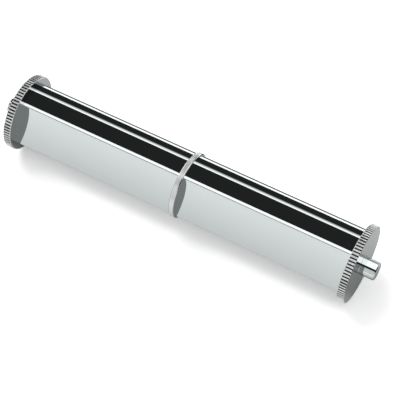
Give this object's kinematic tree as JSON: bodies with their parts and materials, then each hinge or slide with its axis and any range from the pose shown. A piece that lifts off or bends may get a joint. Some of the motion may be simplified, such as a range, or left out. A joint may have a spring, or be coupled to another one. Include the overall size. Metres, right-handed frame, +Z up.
{
  "type": "toilet paper holder roller",
  "caption": "Polished metal toilet paper roller: flat-sided bar with a middle ring, reeded end discs and sprung pins that fit between two posts.",
  "frame": {"origin": "the middle of the roller's axis, at the centre of the middle ring", "axes": "+X along the roller towards its right pin, +Z up; the bar's front flat looks towards -Y and 18 degrees up, and the discs rest on a surface at Z -15 mm"},
  "size_m": [0.1546, 0.03, 0.03],
  "materials": {
    "polished_chrome": "mirror-polished chrome plate",
    "satin_chrome": "chrome plate with a finely turned rim",
    "plain_steel": "bright zinc-plated or spring steel",
    "bush_brass": "turned brass",
    "washer_nylon": "natural nylon"
  },
  "bodies": {
    "roller": {"left_bar": "polished_chrome", "right_bar": "polished_chrome", "center_ring": "satin_chrome", "center_stud": "plain_steel", "left_disc": "polished_chrome", "right_disc": "polished_chrome", "left_bush": "bush_brass", "right_bush": "bush_brass", "left_spring": "plain_steel", "right_spring": "plain_steel", "left_spring_seat": "plain_steel", "right_spring_seat": "plain_steel"},
    "left_follower": {"left_thrust_washer": "washer_nylon"},
    "left_plunger": {"left_pin": "polished_chrome"},
    "right_follower": {"right_thrust_washer": "washer_nylon"},
    "right_plunger": {"right_pin": "polished_chrome"}
  },
  "joints": [
    {"name": "left_pin_push", "type": "slide", "parent": "roller", "child": "left_follower", "axis": [1, 0, 0], "range_m": [0, 0.0055], "stiffness_N_per_m": 900, "springref_m": -0.006, "deforming": ["left_spring"]},
    {"name": "left_pin_turn", "type": "hinge", "parent": "left_follower", "child": "left_plunger", "pos_m": [-0.0739, 0, 0], "axis": [1, 0, 0], "continuous": true},
    {"name": "right_pin_push", "type": "slide", "parent": "roller", "child": "right_follower", "axis": [-1, 0, 0], "range_m": [0, 0.0055], "stiffness_N_per_m": 900, "springref_m": -0.006, "deforming": ["right_spring"]},
    {"name": "right_pin_turn", "type": "hinge", "parent": "right_follower", "child": "right_plunger", "pos_m": [0.0739, 0, 0], "axis": [1, 0, 0], "continuous": true}
  ]
}
